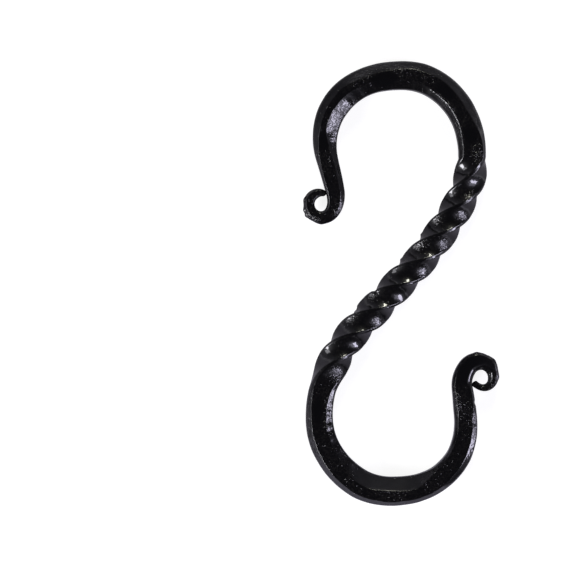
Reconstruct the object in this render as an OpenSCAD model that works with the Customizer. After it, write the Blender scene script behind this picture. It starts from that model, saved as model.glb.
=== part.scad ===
// Forged S hook, lying flat. One square bar, bevelled along its corners: twisted two full turns in
// the middle, bent to a round seat each way, then drawn down to a thin tip that is rolled back
// against the bar as a small curl. Y runs along the hook and Z points up, and the origin is on the
// bench, under the middle of the box that holds the hook.

/* [Bar] */
// Width across the flats where the bar is bent
bar_w = 9.6; // [8:0.1:11.6]
// Leg of the corner bevel where the bar is bent
bar_bevel = 2.3; // [1:0.1:2.4]
// Width across the flats in the twist, which draws the bar thinner
twist_w = 8.7; // [7.4:0.1:10.7]
// Leg of the bevel left on the twist's ridges
twist_bevel = 0.9; // [0.5:0.1:2]

/* [Twist] */
// Quarter turns of the bar from one end of the twist to the other
quarter_turns = 8; // [4:1:12]
// Length of twist above the middle
upper_twist = 57.1; // [47:0.1:64]
// Length of twist below the middle
lower_twist = 40.5; // [33.9:0.1:49]
// Length over which the twist comes in beside the upper seat
upper_run_out = 2; // [1:0.5:12]
// Length over which it dies away beside the lower seat
lower_run_out = 10; // [1:0.5:12]

/* [Middle] */
// Angle of the straight middle from the X axis
lean = 46.7; // [38.9:0.1:56.1]
// Straight bar above the middle
upper_straight = 8.4; // [6:0.1:12]
// Straight bar below the middle
lower_straight = 15.4; // [12:0.1:18.2]
// Radius of the gentle bow above the straight
upper_bow_r = 127; // [109:1:158]
// Turn of that bow
upper_bow_turn = 14.6; // [11.7:0.1:17]
// Radius of the gentle bow below the straight
lower_bow_r = 49.8; // [44.3:0.1:64]
// Turn of that bow
lower_bow_turn = 28.1; // [22.3:0.1:32.2]

/* [Upper bend] */
// Centre line radius of the shoulder, from the bow to the seat
upper_shoulder_r = 32.5; // [26.5:0.1:38.3]
// Turn of the shoulder
upper_shoulder_turn = 48.5; // [41.8:0.1:60.3]
// Inside radius of the seat, which takes the rail
upper_seat_r = 20.6; // [17.3:0.1:25]
// Turn of the seat at that radius
upper_seat_turn = 123; // [110:1:130]
// Centre line radius of the bend from the seat to the shank
upper_end_r = 21.9; // [17.5:0.1:25.4]
// Turn of that bend
upper_end_turn = 51.3; // [43:0.1:62.1]
// Width across the flats where that bend meets the shank
upper_end_w = 7.3; // [6.3:0.1:9.1]

/* [Lower bend] */
// Centre line radius of the shoulder, from the bow to the seat
lower_shoulder_r = 34.9; // [26.5:0.1:38.2]
// Turn of the shoulder
lower_shoulder_turn = 18.1; // [16:0.1:23.1]
// Inside radius of the seat, which takes the load
lower_seat_r = 20.8; // [17.6:0.1:25.5]
// Turn of the seat at that radius
lower_seat_turn = 122; // [110:1:130]
// Centre line radius of the bend from the seat to the shank
lower_end_r = 23.3; // [18.3:0.1:26.4]
// Turn of that bend
lower_end_turn = 62.6; // [51.1:0.1:73.7]
// Width across the flats where that bend meets the shank
lower_end_w = 7.3; // [6.2:0.1:9]

/* [Upper curl] */
// Straight shank between the bend and the curl
upper_shank = 11.5; // [10.3:0.1:14.9]
// Width across the flats at the shank's far end
upper_shank_w = 6.3; // [5.2:0.1:7.6]
// Centre line radius where the shank turns into the curl
upper_neck_r = 9; // [7.6:0.1:11.1]
// Turn of that neck
upper_neck_turn = 48.7; // [39:0.1:56.7]
// Width at the neck's end
upper_neck_w = 4.8; // [4:0.1:5.9]
// Centre line radius of the curl
upper_curl_r = 4.3; // [3.8:0.1:5.2]
// Turn of the curl at that radius
upper_curl_turn = 191; // [163:1:205]
// Width at the curl's end
upper_curl_w = 3.9; // [3.2:0.1:4.7]
// Centre line radius of the tip
upper_tip_r = 3.7; // [3:0.1:4.4]
// Thickness of the tip
upper_tip_w = 1.4; // [1:0.1:2]

/* [Lower curl] */
// Straight shank between the bend and the curl
lower_shank = 9.2; // [8.6:0.1:12.5]
// Width across the flats at the shank's far end
lower_shank_w = 7; // [5.9:0.1:8.6]
// Centre line radius where the shank turns into the curl
lower_neck_r = 10; // [8.7:0.1:12.6]
// Turn of that neck
lower_neck_turn = 41.1; // [33:0.1:47.6]
// Width at the neck's end
lower_neck_w = 6.7; // [5.6:0.1:8.2]
// Centre line radius of the curl
lower_curl_r = 4.9; // [4.3:0.1:5.9]
// Turn of the curl at that radius
lower_curl_turn = 175; // [147:1:190]
// Width at the curl's end
lower_curl_w = 3.3; // [2.7:0.1:4]
// Centre line radius of the tip
lower_tip_r = 3.3; // [2.8:0.1:4.1]
// Thickness of the tip
lower_tip_w = 1.8; // [1:0.1:2.2]

/* [Hidden] */

// Hair of daylight left between a curl's tip and the shank that it is rolled against
tip_gap = 0.15;
// Leg of the bevel as a share of the width, along the drawn ends
end_bevel = 0.26;
// Length over which the bar thins at each end of the twist
twist_fade = 6;
// Longest step between rings of a sweep, and the most it may turn in the plane
ring_step = 2.4;
ring_turn = 9;
// Step between rings in the twist
twist_step = 1.1;
// Each sweep runs this far into its seat, ending this much slimmer, so that it joins the seat's solid
lap = 0.6;
lap_slim = 0.4;
// A seat's own solid starts this far in from the sweep's last full ring
seat_inset = 0.05;
// Rings that round the tip: how far on, as a share of its thickness, and how wide
nose = [[0.2, 0.86], [0.36, 0.6], [0.44, 0.3]];

// A run of bar is [length, turn, width at its end]. Turns are positive to the left.
function straight(length, w) = [length, 0, w];
function arc(r, turn, w) = [r * abs(turn) * PI / 180, turn, w];

// A station is [x, y, heading, distance, width]. This one lies a share t along a run.
function ahead(at, run, t = 1) =
    let (turn = run[1] * t, r = run[1] == 0 ? 0 : run[0] * 180 / PI / run[1], step = run[0] * t)
    [
        at[0] + (run[1] == 0 ? step * cos(at[2]) : r * (sin(at[2] + turn) - sin(at[2]))),
        at[1] + (run[1] == 0 ? step * sin(at[2]) : r * (cos(at[2]) - cos(at[2] + turn))),
        at[2] + turn,
        at[3] + step,
        at[4] + (run[2] - at[4]) * t
    ];

// Where the last of a list of runs ends
function ended(at, runs, i = 0) = i == len(runs) ? at : ended(ahead(at, runs[i]), runs, i + 1);

function steps(run, step) = ceil(max(run[0] / step, abs(run[1]) / ring_turn));

// Every station along a list of runs, the first one included
function stations(at, runs, step = ring_step, i = 0) =
    i == len(runs) ? [at] : let (n = steps(runs[i], step)) concat(
        [for (k = [0 : n - 1]) ahead(at, runs[i], k / n)],
        stations(ahead(at, runs[i]), runs, step, i + 1)
    );

// From the middle of the twist to where each seat starts
function to_seat(straight_part, bow_r, bow_turn, shoulder_r, shoulder_turn) = [
    straight(straight_part, bar_w),
    arc(bow_r, bow_turn, bar_w),
    arc(shoulder_r, shoulder_turn, bar_w)
];
upper_run = to_seat(upper_straight, upper_bow_r, upper_bow_turn, upper_shoulder_r, upper_shoulder_turn);
lower_run = to_seat(lower_straight, lower_bow_r, lower_bow_turn, lower_shoulder_r, lower_shoulder_turn);
upper_start = [0, 0, lean, 0, bar_w];
lower_start = [0, 0, lean + 180, 0, bar_w];
upper_seat_at = ended(upper_start, upper_run);
lower_seat_at = ended(lower_start, lower_run);
upper_seat = arc(upper_seat_r + bar_w / 2, upper_seat_turn, bar_w);
lower_seat = arc(lower_seat_r + bar_w / 2, lower_seat_turn, bar_w);

// From the end of each seat to the end of its curl, where the tip begins
upper_curl = [
    arc(upper_end_r, upper_end_turn, upper_end_w),
    straight(upper_shank, upper_shank_w),
    arc(upper_neck_r, -upper_neck_turn, upper_neck_w),
    arc(upper_curl_r, -upper_curl_turn, upper_curl_w)
];
lower_curl = [
    arc(lower_end_r, lower_end_turn, lower_end_w),
    straight(lower_shank, lower_shank_w),
    arc(lower_neck_r, -lower_neck_turn, lower_neck_w),
    arc(lower_curl_r, -lower_curl_turn, lower_curl_w)
];

// Daylight between a station and the side of the bar at another
function daylight(a, b) = norm([a[0] - b[0], a[1] - b[1]]) - (a[4] + b[4]) / 2;

// The tip goes on at its own radius until its end meets the shank or the neck
function tip_run(at, curl, tip_r, tip_w) =
    let (
        shank = stations(ended(at, [curl[0]]), [curl[1], curl[2]], 0.3),
        start = ended(at, curl),
        met = [
            for (turn = [5 : 0.5 : 170])
                let (tip = ahead(start, arc(tip_r, -turn, tip_w)))
                if (min([for (s = shank) daylight(tip, s)]) < tip_gap) turn
        ]
    )
    arc(tip_r, -met[0], tip_w);

// Share of the full twist rate summed from the twist's lower end, falling away over each run-out
function twist_sum(s) =
    let (
        a = min(max(s + lower_twist, 0), upper_twist + lower_twist),
        b = upper_twist + lower_twist - a
    )
    a < lower_run_out ? a * a / 2 / lower_run_out
    : b < upper_run_out ? twist_length - b * b / 2 / upper_run_out
    : a - lower_run_out / 2;
twist_length = upper_twist + lower_twist - (upper_run_out + lower_run_out) / 2;
function turned(s) = 90 * quarter_turns * twist_sum(s) / twist_length;

// How far a place along the bar is into the twist, from 0 on the bends to 1
function in_twist(s) = min(max(min(s + lower_twist, upper_twist - s) / twist_fade, 0), 1);
function mix(a, b, t) = a + (b - a) * t;

// Square of width w with its corners bevelled by the given leg
function section(w, bevel) =
    let (h = w / 2, c = h - bevel)
    [[h, -c], [h, c], [c, h], [-c, h], [-h, c], [-h, -c], [-c, -h], [c, -h]];

// The same section with a point in the middle of each flat, for a skin that follows the twist
function rim(w, bevel) =
    let (s = section(w, bevel))
    [for (i = [0 : 2 : 6]) each [(s[i] + s[i + 1]) / 2, s[i + 1], s[(i + 2) % 8]]];

// The section set square across a station and turned about the bar
function ring(at, w, bevel, turn = 0) = [
    for (p = rim(w, bevel))
        let (across = p[0] * cos(turn) - p[1] * sin(turn), up = p[0] * sin(turn) + p[1] * cos(turn))
        [at[0] - across * sin(at[2]), at[1] + across * cos(at[2]), up]
];

// The slimmer ring inside a seat, where a sweep ends
function lap_ring(at, on) = ring(ahead(at, straight(on, 0)), bar_w - lap_slim, bar_bevel);

// A closed skin over a list of rings
module loft(rings) {
    n = len(rings[0]);
    last = n * (len(rings) - 1);
    sides = [
        for (k = [0 : len(rings) - 2]) for (i = [0 : n - 1])
            let (a = k * n + i, b = k * n + (i + 1) % n)
            each [[a, a + n, b + n], [a, b + n, b]]
    ];
    start = [for (i = [0 : n - 1]) i];
    end = [for (i = [0 : n - 1]) last + (n - i) % n];
    polyhedron([for (r = rings) each r], concat(sides, [start, end]), convexity = 10);
}

// The twisted middle, from the lower seat up to the upper one
function middle_rings() =
    let (
        down = stations(lower_start, lower_run, twist_step),
        up = stations(upper_start, upper_run, twist_step),
        along = concat(
            [for (i = [len(down) - 1 : -1 : 1])
                [down[i][0], down[i][1], down[i][2] - 180, -down[i][3], bar_w]],
            up
        )
    )
    concat(
        [lap_ring(along[0], -lap)],
        [for (s = along) ring(
            s,
            mix(bar_w, twist_w, in_twist(s[3])),
            mix(bar_bevel, twist_bevel, in_twist(s[3])),
            turned(s[3])
        )],
        [lap_ring(upper_seat_at, lap)]
    );

// A seat is turned about its own centre, so its inside is a true round
module seat(at, run) {
    r = run[0] * 180 / PI / run[1];
    centre = [at[0] - r * sin(at[2]), at[1] + r * cos(at[2])];
    inset = seat_inset * 180 / PI / r;
    translate([centre[0], centre[1], 0])
        rotate([0, 0, at[2] - 90 + inset])
            rotate_extrude(angle = run[1] - 2 * inset, $fn = 180)
                translate([r, 0])
                    polygon(section(bar_w, bar_bevel));
}

// A drawn end: from its seat down to the shank, round the curl and on to the rounded tip
function end_rings(at, curl, tip_r, tip_w) =
    let (
        runs = concat(curl, [tip_run(at, curl, tip_r, tip_w)]),
        along = stations(at, runs),
        tip = along[len(along) - 1],
        first = bar_bevel / bar_w,
        fade = runs[0][0]
    )
    concat(
        [lap_ring(at, -lap)],
        [for (s = along) ring(s, s[4], s[4] * mix(first, end_bevel, min((s[3] - at[3]) / fade, 1)))],
        [for (n = nose) ring(ahead(tip, straight(n[0] * tip_w, tip_w)), tip_w * n[1],
            tip_w * n[1] * end_bevel)]
    );

middle = middle_rings();
upper_end = end_rings(ended(upper_seat_at, [upper_seat]), upper_curl, upper_tip_r, upper_tip_w);
lower_end = end_rings(ended(lower_seat_at, [lower_seat]), lower_curl, lower_tip_r, lower_tip_w);

// The box of the whole hook, which puts the origin under its middle
outline = concat(
    [for (r = middle) each r],
    [for (r = upper_end) each r],
    [for (r = lower_end) each r],
    [for (k = [0 : 360]) each ring(ahead(upper_seat_at, upper_seat, k / 360), bar_w, bar_bevel)],
    [for (k = [0 : 360]) each ring(ahead(lower_seat_at, lower_seat, k / 360), bar_w, bar_bevel)]
);
low = [for (i = [0 : 2]) min([for (p = outline) p[i]])];
high = [for (i = [0 : 2]) max([for (p = outline) p[i]])];

module s_hook() {
    color([0.06, 0.06, 0.07])
        translate([-(low[0] + high[0]) / 2, -(low[1] + high[1]) / 2, -low[2]])
            union() {
                loft(middle);
                seat(upper_seat_at, upper_seat);
                seat(lower_seat_at, lower_seat);
                loft(upper_end);
                loft(lower_end);
            }
}

s_hook();
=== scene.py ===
import math

import bpy
import numpy as np
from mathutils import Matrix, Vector


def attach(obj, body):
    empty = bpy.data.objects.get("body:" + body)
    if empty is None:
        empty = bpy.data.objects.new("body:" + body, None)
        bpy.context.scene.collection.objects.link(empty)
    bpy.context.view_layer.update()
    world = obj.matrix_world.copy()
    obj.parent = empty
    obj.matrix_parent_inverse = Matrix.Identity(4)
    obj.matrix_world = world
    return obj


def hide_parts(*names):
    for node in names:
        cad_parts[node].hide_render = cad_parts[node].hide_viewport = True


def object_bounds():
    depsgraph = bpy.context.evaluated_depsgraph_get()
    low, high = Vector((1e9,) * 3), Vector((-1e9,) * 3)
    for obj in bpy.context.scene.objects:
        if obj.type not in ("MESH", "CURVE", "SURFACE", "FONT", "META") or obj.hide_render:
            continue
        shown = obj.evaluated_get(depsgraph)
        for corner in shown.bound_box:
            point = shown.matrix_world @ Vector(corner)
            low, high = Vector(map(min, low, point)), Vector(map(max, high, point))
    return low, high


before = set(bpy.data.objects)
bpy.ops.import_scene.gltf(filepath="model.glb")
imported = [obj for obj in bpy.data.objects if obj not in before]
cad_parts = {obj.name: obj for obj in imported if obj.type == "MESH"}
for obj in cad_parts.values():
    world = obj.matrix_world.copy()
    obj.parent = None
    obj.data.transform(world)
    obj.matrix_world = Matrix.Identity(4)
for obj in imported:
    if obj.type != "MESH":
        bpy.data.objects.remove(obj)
cad_low, cad_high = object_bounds()

MM = 0.001

# The bar, in millimetres and degrees. Distances run along it from the middle of the twist: up to the
# upper tip, and, below zero, down to the lower one.
LEAN = 46.7  # of the middle, from the X axis
QUARTER_TURNS = 8
TWIST_ABOVE, TWIST_BELOW = 57.1, 40.5  # how far the twist goes
RUN_OUT_ABOVE, RUN_OUT_BELOW = 2.0, 10.0  # lengths over which it slows down to nothing
TWIST_WIDTH, TWIST_BEVEL = 8.7, 0.9
TWIST_FADE = 6.0  # length over which the hammered section runs into the twisted one
SEAT_OUT = 4.8  # from the inside of a seat to the middle of the bar
THICKNESS = 9.6

# Each half, as the straights and arcs that follow each other from the middle to the tip: radius and
# turn, or length and no turn.
UPPER_HALF = (
    (8.4, 0),
    (127, 14.6),
    (32.5, 48.5),
    (20.6 + SEAT_OUT, 123),
    (21.9, 51.3),
    (11.5, 0),
    (9.0, -48.7),
    (4.3, -191),
    (3.7, -67),
)
LOWER_HALF = (
    (15.4, 0),
    (49.8, 28.1),
    (34.9, 18.1),
    (20.8 + SEAT_OUT, 122),
    (23.3, 62.6),
    (9.2, 0),
    (10.0, -41.1),
    (4.9, -175),
    (3.3, -80),
    (5.5, -24),
)

# The hammered bar outside the twist: distance, bar to the left of the centre line, left bevel (across
# and down), bar to the right of it, right bevel (across and down). Left is as seen on the way to the
# upper tip, which is the inside of the upper bend and the outside of the lower one.
HAMMERED = (
    (-169, 1.25, 0.65, 0.5, 1.15, 0.5, 0.4),
    (-167, 1.2, 0.7, 0.55, 1.15, 0.55, 0.45),
    (-165, 1.2, 0.75, 0.6, 1.4, 0.65, 0.5),
    (-163, 1.5, 0.95, 0.8, 1.6, 0.8, 0.6),
    (-160.5, 1.95, 1.3, 1.1, 1.85, 0.9, 0.7),
    (-158, 2.3, 1.6, 1.3, 2.1, 0.9, 0.75),
    (-155.8, 2.6, 1.6, 1.2, 2.75, 0.9, 0.85),
    (-151.5, 3.1, 1.5, 1.15, 3.2, 0.85, 0.9),
    (-147, 3.25, 1.5, 1.2, 3.4, 0.85, 1),
    (-142, 3.25, 1.5, 1.2, 3.7, 0.95, 1.1),
    (-137.5, 3.55, 0.8, 0.9, 3.95, 1.15, 1.2),
    (-133, 3.65, 0.8, 0.9, 4.2, 1.3, 1.3),
    (-129, 3.6, 2, 0.95, 4.3, 1.3, 1.3),
    (-124, 3.8, 1.9, 0.95, 4.3, 1.2, 1.4),
    (-120, 3.95, 2, 1.1, 4.3, 1.1, 1.4),
    (-116, 4.25, 2, 1.4, 4.15, 1, 1.5),
    (-111, 4.25, 1.9, 1.4, 4.25, 1.2, 1.6),
    (-106, 4.3, 1.6, 1.4, 4.4, 1.55, 1.8),
    (-102, 4.35, 1.45, 1.7, 4.75, 3, 2.6),
    (-98, 4.3, 1.45, 1.7, 5.05, 4.65, 3.8),
    (-94, 4.3, 1.5, 1.6, 5.35, 4.9, 4.1),
    (-90, 4.45, 1.45, 1.6, 5.45, 4.55, 3.9),
    (-86, 4.65, 1.5, 1.6, 5.3, 4.5, 3.9),
    (-82, 4.9, 1.5, 1.6, 5.2, 5, 4.1),
    (-78, 5.1, 1.6, 1.7, 5.15, 5.2, 4.2),
    (-75, 5.05, 1.7, 1.8, 5.25, 5.1, 4),
    (-71, 5, 1.75, 1.9, 5.25, 4.2, 1.7),
    (-65, 4.95, 1.9, 2, 5.1, 3.2, 1.0),
    (-60, 5, 2.05, 2, 4.85, 2.8, 0.9),
    (-56, 5.05, 2.1, 2, 4.65, 2.5, 1.0),
    (-52, 5.05, 1.95, 1.8, 4.55, 2.6, 1.2),
    (-48, 5, 1.85, 1.7, 4.4, 2.5, 1.3),
    (-44, 5.05, 1.7, 1.5, 4.3, 2.2, 1.15),
    (-40, 5.05, 1.55, 1.4, 4.25, 1.75, 1),
    (57, 5, 1.45, 1.6, 4.4, 1, 1.4),
    (62, 5, 1.65, 1.8, 4.55, 1.15, 1.5),
    (66, 4.95, 1.85, 1.9, 4.6, 2.25, 1.9),
    (70, 4.95, 1.95, 2, 4.65, 3.15, 2.5),
    (75, 4.95, 2.05, 2.2, 4.8, 3.3, 2.6),
    (80, 4.95, 2.25, 2.2, 4.9, 3, 2.4),
    (86, 4.85, 2.5, 1.8, 5.05, 2.95, 2.2),
    (91, 4.9, 3.1, 1.7, 5.1, 3.1, 2.3),
    (95, 5.15, 3.45, 1.7, 4.85, 2.8, 2.1),
    (100, 5.4, 3.5, 1.65, 4.55, 3.2, 2.4),
    (104, 5.3, 3.4, 1.6, 4.55, 3.3, 2.5),
    (109, 4.95, 3.75, 1.6, 4.75, 3.75, 2.9),
    (114, 4.7, 4, 1.8, 5.1, 3.55, 2.7),
    (118, 4.6, 4.3, 2.15, 5.35, 2.95, 2.1),
    (122, 4.5, 4.6, 2.4, 5.45, 3, 2),
    (127, 4.35, 4.6, 2.4, 5.25, 2.85, 2),
    (131, 4.25, 4.6, 2.3, 4.9, 2.65, 1.9),
    (134, 4.15, 4.1, 2, 4.6, 2.3, 1.8),
    (138, 3.95, 2.75, 1.9, 4.25, 1.85, 1.6),
    (145, 3.55, 1.7, 1.6, 3.8, 0.9, 1.0),
    (150, 3.45, 1.7, 1.5, 3.6, 0.75, 0.85),
    (156, 3, 1.6, 1.2, 3.4, 0.75, 0.85),
    (160, 2.8, 1.5, 0.9, 2.7, 0.9, 0.9),
    (164, 2.4, 1.3, 0.9, 2.25, 0.85, 0.8),
    (170, 2.25, 1.4, 1.2, 2.1, 0.7, 0.7),
    (172, 2, 1.2, 1.1, 2.1, 0.7, 0.7),
    (175, 2.1, 1, 0.95, 1.95, 0.7, 0.7),
    (178, 1.6, 0.7, 0.6, 1.7, 0.65, 0.6),
    (180.2, 1.1, 0.45, 0.4, 0.95, 0.35, 0.3),
)

# How round the upper edges are, to the left and to the right: distance, then the two sides.
EDGES = (
    (-168, 1.5, 1.0),
    (-160, 3.0, 1.0),
    (-141, 3.0, 1.0),
    (-138, 0.8, 0.8),
    (-118, 0.7, 0.4),
    (-114, 0.35, 0.4),
    (-104, 0.35, 0.6),
    (-96, 0.5, 0.35),
    (-68, 0.5, 0.5),
    (-50, 0.5, 0.8),
    (-40, 0.8, 1.0),
    (57, 1.2, 0.8),
    (66, 1.6, 0.6),
    (86, 1.6, 0.6),
    (93, 0.9, 0.6),
    (118, 0.6, 0.6),
    (131, 0.6, 0.35),
    (150, 0.7, 0.35),
    (160, 1.0, 1.0),
)

# Where the scale under the paint lies coarser, or finer where the last figure is below zero: distance,
# place to the left of the centre line, reach along and across, and how much is added.
# Where the scale is coarser, the paint also carries more of the painted glints, the light grey dots in its
# colour.
SCALY = (
    (5, 0, 42, 42, -0.13),
    (128, 1.9, 9, 2.2, 0.55),
    (121.5, 4.0, 6, 1.3, 0.8),
    (133, 3.6, 4, 1.2, 0.5),
    (106, -1.8, 12, 1.8, 0.6),
    (87, -0.8, 4, 1.8, 0.15),
    (75, -0.5, 10, 3.5, -0.3),
    (67, 3.7, 6, 1.0, 0.6),
    (79, 2.7, 8, 0.9, 0.8),
    (81.5, 0.4, 3, 1.6, -0.8),
    (64, 0.5, 3.5, 2.5, -0.5),
    (57.5, -1.0, 3.5, 2.2, 1.1),
    (104, 1.0, 4.5, 2.5, -0.7),
    (137, -0.8, 3, 1.6, -0.9),
    (144, 0, 5, 3, 0.4),
    (159.5, 1.2, 3, 2, 0.9),
    (168, 1.0, 3, 1.6, 0.8),
    (175, -0.4, 2, 1.4, 0.4),
    (47.5, -2.2, 2.2, 2, -0.15),
    (51.5, 3.6, 3, 2.5, -0.15),
    (42, 3.8, 3, 2.5, -0.15),
    (36, -2.4, 2.6, 2, 0.9),
    (31, 3.8, 3, 2, 0.9),
    (25, -2.8, 3, 2.2, 0.9),
    (20.5, 3.4, 2.6, 2, 0.9),
    (43.5, -1.0, 2.5, 1.6, 0.9),
    (31.5, -1.0, 2, 1.4, -0.3),
    (-15.5, -1.1, 2, 1.4, -0.3),
    (13.5, -2.6, 3, 2.2, 0.5),
    (2.5, -2.8, 3, 2.2, -0.15),
    (-3, 3.4, 3, 2.2, 0.6),
    (-10, -2.8, 3, 2.2, 0.8),
    (-14.5, 3.4, 3.4, 2.2, 0.5),
    (-21.5, -2.8, 2.6, 2, -0.15),
    (-26.5, 3.6, 3, 2.2, -0.15),
    (-33.5, -2.2, 3.4, 2.6, 1.0),
    (-49, -2.8, 8, 1.5, 0.3),
    (-47, 0.8, 6, 2, -0.7),
    (-65, -1.0, 9, 3.4, 0.12),
    (-88, -2.6, 9, 2.2, -0.9),
    (-78, -2.0, 4, 2.6, -0.9),
    (-88, 1.4, 6, 1.6, 0.3),
    (-119, 3.0, 5, 1.6, 0.2),
    (-128, 2.8, 5, 1.6, 0.9),
    (-109, 3.2, 5, 1.4, -0.3),
    (-136, -2.6, 4, 1.2, 1.1),
    (-88, -0.5, 9, 0.7, 0.8),
    (-134, -0.5, 6, 3, 0.4),
    (-148, 0, 6, 1.6, -0.7),
    (-161, -1.0, 3, 1.4, 0.8),
)

# Lumps where the hammer folded the steel over, and hollows where the height is below zero: distance,
# place to the left of the centre line, reach and height.
LUMPS = (
    (-160.2, -1.9, 0.9, 0.15),
    (-158.2, -2.2, 1.7, -0.2),
    (-155.8, -2.8, 1.0, 0.2),
    (-151.5, -3.3, 0.9, 0.25),
    (-153.7, -3.0, 1.3, -0.15),
    (-137.2, -2.8, 0.9, 0.1),
    (-134.5, 3.6, 1.2, -0.25),
    (-134.9, -2.6, 0.9, 0.1),
    (-127.8, 2.6, 0.9, -0.12),
    (-54.6, -3.0, 1.4, -0.2),
    (-51.2, -3.0, 1.1, -0.22),
    (-49.0, -2.6, 1.0, 0.12),
    (-46.4, -3.1, 1.1, -0.2),
    (-43.8, -3.4, 1.0, 0.1),
    (-11.0, 4.9, 1.3, -0.5),
    (-8.8, 4.9, 1.0, 0.3),
    (-2.2, 4.9, 1.1, -0.4),
    (12.0, 5.2, 1.1, 0.35),
    (23.5, 5.2, 1.1, 0.35),
    (120.5, 3.0, 2.2, -0.18),
    (127.5, 3.2, 1.6, 0.08),
    (133.5, 1.4, 2.2, -0.15),
    (165.7, 2.4, 1.0, 0.15),
    (167.8, 2.3, 1.4, -0.2),
    (169.8, 2.4, 0.8, 0.45),
    (171.1, 2.2, 0.8, 0.2),
    (172.4, 2.1, 1.0, -0.15),
    (173.8, 2.1, 0.9, 0.2),
)

BLEND = 3.0  # length over which one hammered stretch runs into the next
UNDER_BEVEL = 0.24  # leg of the bevels on the face that lies down, as a share of the width
DRAWN_EXTRA = 0.5  # how much higher than wide the bar is where it is drawn thin
BEVEL_WAVER = 0.11  # how far a bevel's edge strays
LEFT_WAVER = (2.3, 0.0)  # length and seed of that straying
RIGHT_WAVER = (2.6, 11.0)
NOSE = 0.8  # length of the round end past each tip
LAST_RING = 0.02  # share of the section that the last ring keeps

# Edges round off by this share of the width, times how round each is. The table above has the upper
# edges; these are where the sides meet the upper bevels, and where they meet the lower ones.
ROUNDING = 0.08
BELT_EDGE = 2.2
LOWER_EDGE = 1.2
TRIM_LIMIT = 0.42  # share of a side that one rounding may take

# The twisted section is a little wider than square, and lies a little to the left.
TWIST_STRETCH = 0.04
TWIST_SHIFT = 0.2

DENTS = ((0.06, 8.0, 0.0), (0.035, 2.6, 9.0))  # depth, size and seed

# The scale's coarseness before the table adds to it: middle and swing, size and seed of the swing.
GRAIN_MIDDLE, GRAIN_SWING = 0.5, 0.4
GRAIN_SIZE, GRAIN_SEED = 7.0, 2.0
GRAIN_REACH = 1.4  # how far past its oval a stretch in the table fades out, where the oval's edge is 1
GRAIN_LEAST, GRAIN_MOST = 0.05, 1.6
GRAIN_AT_TIPS = 0.3

RINGS = 1380  # along the bar
FILLET_STEPS = 4  # round each eased edge
FLAT_STEPS = (3, 5, 6, 5, 3, 1, 2, 1)  # on the section's eight sides, from the left side on over the top


def follow(heading, runs, s):
    """Points along a chain of straights and arcs at the distances s. A straight adds its length along the
    heading; an arc of radius r adds r times the change of (sine, minus cosine) of the heading. The last
    run goes on past its end."""
    x, y, turned_to = (np.zeros_like(s) for _ in range(3))
    px, py, ph, start = 0.0, 0.0, heading, 0.0
    for number, (size, degrees) in enumerate(runs):
        turn = math.radians(degrees)
        length = size * abs(turn) if turn else size
        here = (s >= start) & ((s < start + length) | (number == len(runs) - 1))
        t = (s[here] - start) / length
        h = ph + turn * t
        if turn:
            r = length / turn
            x[here] = px + r * (np.sin(h) - math.sin(ph))
            y[here] = py - r * (np.cos(h) - math.cos(ph))
            px += r * (math.sin(ph + turn) - math.sin(ph))
            py -= r * (math.cos(ph + turn) - math.cos(ph))
        else:
            x[here] = px + length * t * math.cos(ph)
            y[here] = py + length * t * math.sin(ph)
            px += length * math.cos(ph)
            py += length * math.sin(ph)
        turned_to[here] = h
        ph, start = ph + turn, start + length
    return x, y, turned_to


def length_of(runs):
    """A straight's length is its own; an arc's is its radius times its turn in radians."""
    return sum(size * math.radians(abs(turn)) if turn else size for size, turn in runs)


def centre_line(s):
    """The whole bar's centre line. The lower half is followed downwards, and its headings are then turned
    round, so that all of them point from the lower tip towards the upper one."""
    x, y, heading = (np.zeros_like(s) for _ in range(3))
    for runs, lean, half in ((UPPER_HALF, LEAN, s >= 0), (LOWER_HALF, LEAN + 180, s < 0)):
        x[half], y[half], heading[half] = follow(math.radians(lean), runs, np.abs(s[half]))
    heading[s < 0] -= math.pi
    return x, y, heading


def twist_angle(s):
    """Turn of the section about the bar. The rate is steady between the run-outs and falls evenly to
    nothing over each, so the angle is the square of the distance there and straight between."""
    a = np.clip(s + TWIST_BELOW, 0, TWIST_ABOVE + TWIST_BELOW)
    b = TWIST_ABOVE + TWIST_BELOW - a
    total = TWIST_ABOVE + TWIST_BELOW - (RUN_OUT_ABOVE + RUN_OUT_BELOW) / 2
    share = np.where(a < RUN_OUT_BELOW, a * a / 2 / RUN_OUT_BELOW,
                     np.where(b < RUN_OUT_ABOVE, total - b * b / 2 / RUN_OUT_ABOVE, a - RUN_OUT_BELOW / 2))
    return math.pi / 2 * QUARTER_TURNS * share / total


def smooth(t):
    """0 below 0, 1 above 1, and three times the square less twice the cube between."""
    t = np.clip(t, 0, 1)
    return t * t * (3 - 2 * t)


def lattice(points, cell, seed=0.0):
    """Smooth noise from -1 to 1: each corner of a grid of cubes has its own value, from the fraction of
    a large sine, and the eight round a point are blended by its place between them."""
    p = points / cell
    i = np.floor(p)
    f = p - i
    f = f * f * (3 - 2 * f)
    total = 0
    for dx in (0, 1):
        for dy in (0, 1):
            for dz in (0, 1):
                corner = np.sin((i[..., 0] + dx) * 127.1 + (i[..., 1] + dy) * 311.7
                                + (i[..., 2] + dz) * 74.7 + seed) * 43758.5453
                weight = (np.where(dx, f[..., 0], 1 - f[..., 0]) * np.where(dy, f[..., 1], 1 - f[..., 1])
                          * np.where(dz, f[..., 2], 1 - f[..., 2]))
                total = total + weight * ((corner - np.floor(corner)) * 2 - 1)
    return total


def waver(s, size, seed):
    """Smooth noise along the bar, from -1 to 1, with bumps about as long as the size."""
    return lattice(np.stack([s, s * 0 + seed, s * 0], -1), size, seed)


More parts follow.
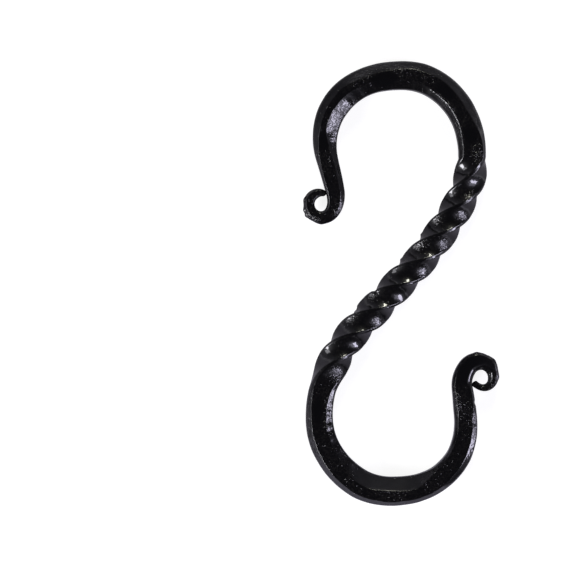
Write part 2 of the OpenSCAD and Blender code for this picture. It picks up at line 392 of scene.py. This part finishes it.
def hammered(s):
    """Columns of the table of hammered stretches at the distances s: straight between the table's rows,
    then averaged over the blend's length."""
    table = np.array(HAMMERED)
    step = s[1] - s[0]
    window = np.hanning(int(BLEND / step) * 2 + 1)
    columns = []
    for column in table.T[1:]:
        value = np.interp(s, table[:, 0], column)
        padded = np.pad(value, len(window) // 2, mode="reflect", reflect_type="odd")
        columns.append(np.convolve(padded, window / window.sum(), mode="valid"))
    return columns


def bevelled(left, right, height, corners):
    """Corners of the bar's section, to its left and upwards: eight points for each ring, anticlockwise
    from the lower left. Each of its four corners is cut off by a leg across and a leg down: lower
    left, upper left, upper right, lower right."""
    top = height / 2
    (a, b), (c, d), (e, f), (g, h) = corners
    points = ((left, -top + b), (left, top - d), (left - c, top), (-right + e, top),
              (-right, top - f), (-right, -top + h), (-right + g, -top), (left - a, -top))
    return np.stack([np.stack(p, -1) for p in points], 1)


def eased(corners, radius):
    """The section with its edges rounded: each corner becomes a curve between two points that lie on its
    sides at the radius times the tangent of half its turn, with points spread along the flats between."""
    to_last = corners - np.roll(corners, 1, 1)
    to_next = np.roll(corners, -1, 1) - corners
    last, ahead = (np.linalg.norm(v, axis=2, keepdims=True) for v in (to_last, to_next))
    half_turn = math.radians(22.5)
    trim = np.minimum(radius[..., None] * math.tan(half_turn), TRIM_LIMIT * np.minimum(last, ahead))
    a, c = corners - to_last / last * trim, corners + to_next / ahead * trim
    u = np.linspace(0, 1, FILLET_STEPS + 1)[None, None, :, None]
    bend = (1 - u) ** 2 * a[:, :, None] + 2 * u * (1 - u) * corners[:, :, None] + u ** 2 * c[:, :, None]
    parts = []
    for index, steps in enumerate(FLAT_STEPS):
        v = (np.arange(1, steps + 1) / (steps + 1))[None, :, None]
        flat = c[:, index, None] * (1 - v) + a[:, (index + 1) % 8, None] * v
        parts += [bend[:, index], flat]
    return np.concatenate(parts, 1)


def bar_surface():
    """The whole bar's skin: the eased section of each ring is turned by the twist, and set square across
    the centre line. At the tips it shrinks as a quarter of an ellipse does."""
    lower_tip, upper_tip = -length_of(LOWER_HALF), length_of(UPPER_HALF)
    s = np.linspace(lower_tip - NOSE, upper_tip + NOSE, RINGS)
    x, y, heading = centre_line(s)
    left, left_leg, left_drop, right, right_leg, right_drop = hammered(s)
    twisted = np.clip(np.minimum(s + TWIST_BELOW, TWIST_ABOVE - s) / TWIST_FADE, 0, 1)
    inside = (s > -TWIST_BELOW) & (s < TWIST_ABOVE)
    twisted = np.where(inside, twisted, 0)

    def in_twist(value, there):
        """The value outside the twist, and evenly on to the other one over its ends."""
        return value + (there - value) * twisted

    height = np.minimum(THICKNESS, left + right + DRAWN_EXTRA)
    under = UNDER_BEVEL * (left + right)
    left, right = (in_twist(v, TWIST_WIDTH / 2) for v in (left, right))
    height = in_twist(height, TWIST_WIDTH)
    left_leg, left_drop = (v + BEVEL_WAVER * waver(s, *LEFT_WAVER) for v in (left_leg, left_drop))
    right_leg, right_drop = (v + BEVEL_WAVER * waver(s, *RIGHT_WAVER) for v in (right_leg, right_drop))
    left_leg, left_drop, right_leg, right_drop, under = (
        in_twist(v, TWIST_BEVEL) for v in (left_leg, left_drop, right_leg, right_drop, under))
    corners = ((under, under), (left_leg, left_drop), (right_leg, right_drop), (under, under))
    edges = np.array(EDGES)
    left_edge, right_edge = (np.interp(s, edges[:, 0], edges[:, column]) for column in (1, 2))
    round_edges = (LOWER_EDGE, BELT_EDGE, left_edge, right_edge, BELT_EDGE, LOWER_EDGE, 1, 1)
    roundness = np.stack([in_twist(v, 1) * np.ones_like(s) for v in round_edges], 1)
    past = np.clip(np.maximum(s - upper_tip, lower_tip - s) / NOSE, 0, 1)
    close = np.sqrt(np.clip(1 - past ** 2, LAST_RING ** 2, 1))
    radius = ROUNDING * (left + right)[:, None] * roundness
    section = eased(bevelled(left, right, height, corners), radius) * close[:, None, None]
    turn = twist_angle(s)[:, None]
    across = section[..., 0] * np.cos(turn) - section[..., 1] * np.sin(turn)
    up = section[..., 0] * np.sin(turn) + section[..., 1] * np.cos(turn)
    here = twisted[:, None]
    across = across * (1 + TWIST_STRETCH * here) + TWIST_SHIFT * here
    skin = np.stack([x[:, None] - across * np.sin(heading)[:, None],
                     y[:, None] + across * np.cos(heading)[:, None], up], -1)
    along = s[:, None] + 0 * across
    return skin, grain(along, across, up), lumps(along, across)


def outward(skin):
    """Outward direction at each point of a ring-by-ring skin: the cross product of the step round the
    ring and the step along the bar."""
    across = np.cross(np.roll(skin, -1, 1) - np.roll(skin, 1, 1), np.gradient(skin, axis=0))
    return across / (np.linalg.norm(across, axis=2, keepdims=True) + 1e-12)


def forged(skin, out):
    """Leaves the marks of the hammer: the skin goes in by up to twice the depth of two layers of smooth
    noise, broad dents and small ones, and out by the height of the lumps."""
    dent = sum(depth * (lattice(skin, size, seed) - 1) for depth, size, seed in DENTS)
    return skin + (dent + out)[..., None] * outward(skin)


def lumps(s, across):
    """Height of the lumps at each point: each falls smoothly from its height to none at its reach."""
    height = 0
    for at, side, reach, out in LUMPS:
        height = height + out * smooth(1 - np.hypot(s - at, across - side) / reach)
    return height


def grain(s, across, up):
    """How coarse the scale is at each point, about 1 where it shows most. Slow noise gives the start, and
    each stretch in the table adds its amount on the upper side: all of it near the middle of its oval,
    falling smoothly to none a little past the oval's edge."""
    coarse = GRAIN_MIDDLE + GRAIN_SWING * lattice(np.stack([s, across, up], -1), GRAIN_SIZE, GRAIN_SEED)
    for at, side, reach_along, reach_across, more in SCALY:
        away = np.hypot((s - at) / reach_along, (across - side) / reach_across)
        coarse = coarse + np.where(up > 0, more * smooth(GRAIN_REACH - away), 0)
    return np.clip(coarse, GRAIN_LEAST, GRAIN_MOST)


def closed_tube(name, skin):
    """Joins rings of points into a closed skin of quads, with a fan of triangles to a middle point at
    each end."""
    rings, count = skin.shape[:2]
    points = np.concatenate([skin.reshape(-1, 3), skin[0].mean(0)[None], skin[-1].mean(0)[None]])
    ring, step = np.meshgrid(np.arange(rings - 1), np.arange(count), indexing="ij")
    a, b = ring * count + step, ring * count + (step + 1) % count
    quads = np.stack([a, a + count, b + count, b], -1).reshape(-1, 4)[:, ::-1]
    edge = np.arange(count)
    last = (rings - 1) * count
    fan_a = np.stack([np.full(count, len(points) - 2), edge, (edge + 1) % count], -1)[:, ::-1]
    fan_b = np.stack([np.full(count, len(points) - 1), last + (edge + 1) % count, last + edge], -1)[:, ::-1]
    mesh = bpy.data.meshes.new(name)
    mesh.from_pydata(points.tolist(), [], quads.tolist() + fan_a.tolist() + fan_b.tolist())
    mesh.shade_smooth()
    mesh.update()
    piece = bpy.data.objects.new(name, mesh)
    bpy.context.collection.objects.link(piece)
    return piece


class Socket:
    """A socket of a material, so that shader maths reads as an expression."""

    def __init__(self, shader, socket):
        self.shader, self.socket = shader, socket

    def _with(self, operation, first, second):
        sockets = {"Value": first, "Value_001": second}
        return self.shader.node("ShaderNodeMath", {"operation": operation}, sockets)["Value"]

    def __add__(self, other):
        return self._with("ADD", self, other)

    def __sub__(self, other):
        return self._with("SUBTRACT", self, other)

    def __rsub__(self, other):
        return self._with("SUBTRACT", other, self)

    def __mul__(self, other):
        return self._with("MULTIPLY", self, other)

    def __pow__(self, other):
        return self._with("POWER", self, other)

    __radd__, __rmul__ = __add__, __mul__

    def between(self, low, high):
        """0 below low, 1 above high and even between. Low may be the higher number."""
        sockets = {"Value": self, "From Min": low, "From Max": high}
        return self.shader.node("ShaderNodeMapRange", {"clamp": True}, sockets)["Result"]


class Shader:
    """A material's or the world's node tree. Sockets go by their identifiers."""

    def __init__(self, tree):
        self.tree = tree
        tree.nodes.clear()

    def node(self, kind, settings=None, sockets=None):
        """Adds a node: its settings first, then its sockets' values or links. Gives its outputs."""
        made = self.tree.nodes.new(kind)
        for key, value in (settings or {}).items():
            setattr(made, key, value)
        inputs = {socket.identifier: socket for socket in made.inputs}
        for key, value in (sockets or {}).items():
            if isinstance(value, Socket):
                self.tree.links.new(value.socket, inputs[key])
            else:
                inputs[key].default_value = value
        return {out.identifier: Socket(self, out) for out in made.outputs}

    def mix(self, factor, first, second):
        """The first colour where the factor is 0, the second where it is 1 and an even mix between."""
        first, second = (c if isinstance(c, Socket) else (*c, 1) for c in (first, second))
        sockets = {"Factor_Float": factor, "A_Color": first, "B_Color": second}
        return self.node("ShaderNodeMix", {"data_type": "RGBA"}, sockets)["Result_Color"]

    def reach(self, vector, direction):
        """How far the vector reaches in the direction: their dot product."""
        sockets = {"Vector": vector, "Vector_001": direction}
        return self.node("ShaderNodeVectorMath", {"operation": "DOT_PRODUCT"}, sockets)["Value"]


def new_shader(name):
    """A new material and its empty node tree."""
    material = bpy.data.materials.new(name)
    material.use_nodes = True
    return material, Shader(material.node_tree)


def level(azimuth):
    """The level direction at so many degrees round from +X: cosine and sine of the angle."""
    return math.cos(math.radians(azimuth)), math.sin(math.radians(azimuth)), 0


# The paint's relief. Scales are cells to a millimetre, and heights are in millimetres.
RIPPLE = (0.4, 0.08)  # of the paint itself: scale and height
SCALE = (1.4, 0.12, 0.01)  # scale, height at a coarseness of 1, and the least height anywhere
FINE_SCALE = (2.9, 0.06)  # scale, and height at a coarseness of 1
NIBS = (  # scale, radius in cells, share of the cells that have one at a coarseness of 1, height
    (2.2, 0.42, 0.42, 0.06),
    (1.3, 0.32, 0.27, 0.095),
    (0.8, 0.28, 0.2, 0.14),
)
# Painted glints: light grey dots in the paint's colour that stand for small sparkles of light on the scale.
PAINTED_GLINTS = (1.7, 0.4, 0.15)  # scale, radius and share, as for the nibs

# The paint lies thin where a noise is high and the scale is coarse. Noise: its scale, where it begins
# to count and where it counts in full. Coarseness: the same without a scale.
THIN_NOISE = (2.0, 0.42, 0.75)
THIN_COARSE = (0.1, 0.7)
ROUGH, ROUGHER = 0.03, 0.04  # the paint's roughness, and what coarse scale adds to it
DEEP_BLACK = (0.0010, 0.0009, 0.0014)
THIN_BLACK = (0.0080, 0.0075, 0.0072)
# The grey of the painted glints.
PAINTED_GLINT_GREY = (0.034, 0.032, 0.030)


def black_paint():
    """Gloss black paint on forged steel: deep black, greyer where it lies thin, with a faint haze over
    its gloss. Under it is a scale of two grains that comes and goes. Nibs of dust lie where the scale is
    coarse, and so do painted glints: light grey dots in the paint's colour that stand for small sparkles
    of light. The paint has a soft ripple of its own."""
    material, sh = new_shader("black_paint")
    place = sh.node("ShaderNodeTexCoord")["Object"]
    in_mm = {"Vector": place, "Scale": 1 / MM}
    place = sh.node("ShaderNodeVectorMath", {"operation": "SCALE"}, in_mm)["Vector"]
    coarse = sh.node("ShaderNodeAttribute", {"attribute_name": "grain"})["Fac"]

    def noise(scale):
        """Smooth noise of one octave."""
        sockets = {"Vector": place, "Scale": scale, "Detail": 0.0}
        return sh.node("ShaderNodeTexNoise", {}, sockets)["Fac"]

    def domes(scale, radius, share):
        """Round tops, 1 at the middle and 0 at the radius, on a share of a pattern of cells: those whose
        random colour has a grey below the share times the coarseness."""
        cells = sh.node("ShaderNodeTexVoronoi", {}, {"Vector": place, "Scale": scale})
        inside = cells["Distance"].between(radius, 0.0)
        return inside * (2 - inside) * (coarse * share - cells["Color"]).between(0.0, 0.05)

    height = noise(RIPPLE[0]) * RIPPLE[1]
    height = height + noise(SCALE[0]) * (coarse ** 2.0 * SCALE[1] + SCALE[2])
    height = height + noise(FINE_SCALE[0]) * (coarse ** 2.0 * FINE_SCALE[1])
    for scale, radius, share, high in NIBS:
        height = height + domes(scale, radius, share) * high
    relief = {"Strength": 1.0, "Distance": MM, "Height": height}
    bump = sh.node("ShaderNodeBump", {}, relief)["Normal"]
    thin = noise(THIN_NOISE[0]).between(*THIN_NOISE[1:]) * coarse.between(*THIN_COARSE)
    # Deep black, greyer where it lies thin, with the painted glints on top as light grey dots.
    colour = sh.mix(domes(*PAINTED_GLINTS), sh.mix(thin, DEEP_BLACK, THIN_BLACK), PAINTED_GLINT_GREY)
    paint = sh.node("ShaderNodeBsdfPrincipled", {}, {
        "Base Color": colour, "Roughness": coarse * ROUGHER + ROUGH, "IOR": 1.5, "Normal": bump,
        "Coat Weight": 0.37, "Coat Roughness": 0.29, "Coat IOR": 1.5})["BSDF"]
    sh.node("ShaderNodeOutputMaterial", {}, {"Surface": paint})
    return material


def hook():
    """The bar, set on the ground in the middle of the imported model's box."""
    skin, coarse, out = bar_surface()
    low, high = skin.reshape(-1, 3).min(0), skin.reshape(-1, 3).max(0)
    middle = np.array([(low[0] + high[0]) / 2, (low[1] + high[1]) / 2, low[2]])
    ground = np.array([(cad_low[0] + cad_high[0]) / 2, (cad_low[1] + cad_high[1]) / 2, cad_low[2]])
    piece = closed_tube("forged_bar", forged(skin - middle, out) * MM + ground)
    layer = piece.data.attributes.new("grain", "FLOAT", "POINT")
    values = np.append(coarse.ravel(), (GRAIN_AT_TIPS, GRAIN_AT_TIPS))
    layer.data.foreach_set("value", values.astype(np.float32))
    piece.data.materials.append(black_paint())
    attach(piece, "root")
    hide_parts("s_hook")


# Where the light stands, as seen from the hook: degrees round from +X, degrees down from overhead,
# width and height in degrees, brightness and colour.
LIGHTS = (
    ("right_softbox", -20, 57, 29, 14.5, 15.0, (0.83, 0.80, 1.0)),
    ("right_softbox_top", -20, 41, 28, 12, 1.6, (0.83, 0.80, 1.0)),
    ("left_softbox", 206, 57, 29, 14.5, 19.5, (0.95, 0.94, 1.0)),
    ("left_wing", 176, 59, 16, 16, 3.8, (0.95, 0.94, 1.0)),
    ("warm_strip", 84, 51, 7.5, 15.5, 25.0, (1.0, 0.99, 0.86)),
)
LIGHT_DISTANCE = 1.2  # metres


def lamp(name, azimuth, polar, wide, tall, radiance, colour):
    """A flat panel that faces the hook. Its power is its brightness times its area times pi."""
    a, p = math.radians(azimuth), math.radians(polar)
    away = Vector((math.sin(p) * math.cos(a), math.sin(p) * math.sin(a), math.cos(p)))
    data = bpy.data.lights.new(name, "AREA")
    data.shape = "RECTANGLE"
    data.size, data.size_y = (2 * LIGHT_DISTANCE * math.tan(math.radians(d) / 2) for d in (wide, tall))
    data.energy = radiance * data.size * data.size_y * math.pi
    data.color = colour
    panel = bpy.data.objects.new(name, data)
    panel.location = away * LIGHT_DISTANCE
    panel.rotation_mode = "QUATERNION"
    panel.rotation_quaternion = (-away).to_track_quat("-Z", "Y")
    panel.visible_camera = False
    bpy.context.collection.objects.link(panel)


WHITE = (1, 1, 1)

# The room, by the height of a direction's unit vector. Its walls are bright low down and on the side
# of one azimuth, and have a round glow about one direction, near the right softbox.
WALL_TOP, WALL_FALL = 0.75, 1.4  # height where they end, and the power they fall with up to it
BRIGHT_SIDE, SIDE_REACH = 110, (-1.0, 0.4)  # azimuth, and where the rise towards it begins and ends
WALL_GLOW, LEAST_GLOW = 0.3, 0.03
GLOW_AIM, GLOW_EDGE, AIM_GLOW = (0.64, -0.3, 0.707), 0.91, 0.5
WALL_TINT = (0.88, 0.86, 1.0)
HORIZON = (0.08, 0.01)  # heights where it begins and is full
HORIZON_COLOUR = (0.80, 0.78, 0.86)


def studio():
    """A pale room: a white horizon under walls that are brighter low down and towards the upper side,
    with a glow by the right softbox, and dim overhead. The camera sees plain white."""
    world = bpy.data.worlds.new("studio")
    bpy.context.scene.world = world
    world.use_nodes = True
    sh = Shader(world.node_tree)
    direction = sh.node("ShaderNodeTexCoord")["Generated"]
    height = sh.node("ShaderNodeSeparateXYZ", {}, {"Vector": direction})["Z"]
    side = sh.reach(direction, level(BRIGHT_SIDE)).between(*SIDE_REACH)
    glow = sh.reach(direction, GLOW_AIM).between(GLOW_EDGE, 1.0) * AIM_GLOW
    walls = height.between(WALL_TOP, 0.0) ** WALL_FALL * side * WALL_GLOW + LEAST_GLOW + glow
    shade = sh.mix(walls, (0, 0, 0), WALL_TINT)
    shade = sh.mix(height.between(*HORIZON), shade, HORIZON_COLOUR)
    shade = sh.mix(sh.node("ShaderNodeLightPath")["Is Camera Ray"], shade, WHITE)
    back = sh.node("ShaderNodeBackground", {}, {"Color": shade, "Strength": 1.0})["Background"]
    sh.node("ShaderNodeOutputWorld", {}, {"Surface": back})


# The floor. Distances are in metres from the middle of the hook.
HALF_FLOOR = 8.0  # half the width of the floor
FLOOR_PAINT = (0.21, 0.20, 0.23)
PAINT_TO_CAMERA = (0.3, 0.3, 0.3)
GLOW_TO_CAMERA = 0.86
# Painted shade in the floor's reflection: the glow to gloss and glass is kept low close under the bar, and
# dimmer towards one azimuth.
GLOW_NEAR, GLOW_FAR = 0.05, 0.75  # to gloss and glass: close under the bar, and added further off
NEAR_TO_FAR = (0.04, 0.2)  # where the glow to gloss begins to rise and is full
PAINTED_SHADE_AZIMUTH, PAINTED_SHADE_REACH, PAINTED_SHADE_BY = 137, (0.02, 0.18), 0.4  # azimuth, where it begins and is full, how much
# A painted cool tint in the floor's reflection below the hook, seen only by gloss and glass.
PAINTED_COOL_REACH = (-0.05, 0.1)  # where the cool tint below the hook begins and is full
PAINTED_COOL_TINT = (0.93, 0.90, 1.12)


def floor():
    """A white floor. The camera sees it glow under a pale paint, so that it reads as white and still
    shows the hook's soft shadow. Gloss and glass see it white too, but with painted shade in that glow:
    darker close under the bar and dimmer towards the upper left. Below the hook, the glow they see has a
    painted cool tint."""
    mesh = bpy.data.meshes.new("floor")
    corners = [(-1, -1), (1, -1), (1, 1), (-1, 1)]
    mesh.from_pydata([(x * HALF_FLOOR, y * HALF_FLOOR, 0) for x, y in corners], [], [(0, 1, 2, 3)])
    plane = bpy.data.objects.new("floor", mesh)
    bpy.context.collection.objects.link(plane)
    material, sh = new_shader("white_floor")
    path = sh.node("ShaderNodeLightPath")
    seen, mirrored = path["Is Camera Ray"], path["Is Glossy Ray"] + path["Is Transmission Ray"]
    paint = sh.node("ShaderNodeBsdfDiffuse", {}, {"Color": (*FLOOR_PAINT, 1)})["BSDF"]
    pale = sh.node("ShaderNodeBsdfDiffuse", {}, {"Color": (*PAINT_TO_CAMERA, 1)})["BSDF"]
    paints = {"Fac": seen, "Shader": paint, "Shader_001": pale}
    paint = sh.node("ShaderNodeMixShader", {}, paints)["Shader"]
    place = sh.node("ShaderNodeNewGeometry")["Position"]
    distance = sh.node("ShaderNodeVectorMath", {"operation": "LENGTH"}, {"Vector": place})["Value"]
    # Painted shade: the glow to gloss is low close under the bar and dimmer towards the upper left.
    dim = sh.reach(place, level(PAINTED_SHADE_AZIMUTH)).between(*PAINTED_SHADE_REACH)
    shine = distance.between(*NEAR_TO_FAR) * (GLOW_FAR - PAINTED_SHADE_BY * dim) + GLOW_NEAR
    # Painted cool tint of the glow that gloss and glass see below the hook.
    cool = sh.reach(place, (0, -1, 0)).between(*PAINTED_COOL_REACH)
    tint = sh.mix(mirrored * cool, WHITE, PAINTED_COOL_TINT)
    strength = seen * GLOW_TO_CAMERA + mirrored * shine
    glow = sh.node("ShaderNodeEmission", {}, {"Color": tint, "Strength": strength})["Emission"]
    lit = sh.node("ShaderNodeAddShader", {}, {"Shader": paint, "Shader_001": glow})["Shader"]
    sh.node("ShaderNodeOutputMaterial", {}, {"Surface": lit})
    mesh.materials.append(material)


LENS, SENSOR = 200, 36  # millimetres
VIEW_WIDTH = 0.1973  # metres across the view, at the hook
VIEW_MIDDLE = (-0.0387, -0.0016)


def camera():
    """Looks straight down. The hook stands in the right half of the view. Its distance is the view's
    width times the lens over the sensor."""
    data = bpy.data.cameras.new("camera")
    data.lens, data.sensor_width = LENS, SENSOR
    height = (cad_high[2] + cad_low[2]) / 2
    eye = bpy.data.objects.new("camera", data)
    eye.location = (*VIEW_MIDDLE, height + VIEW_WIDTH * LENS / SENSOR)
    data.clip_start, data.clip_end = 0.01, 50
    bpy.context.collection.objects.link(eye)
    bpy.context.scene.camera = eye


hook()
camera()
floor()
studio()
for light in LIGHTS:
    lamp(*light)
bpy.context.scene.view_settings.view_transform = "Standard"
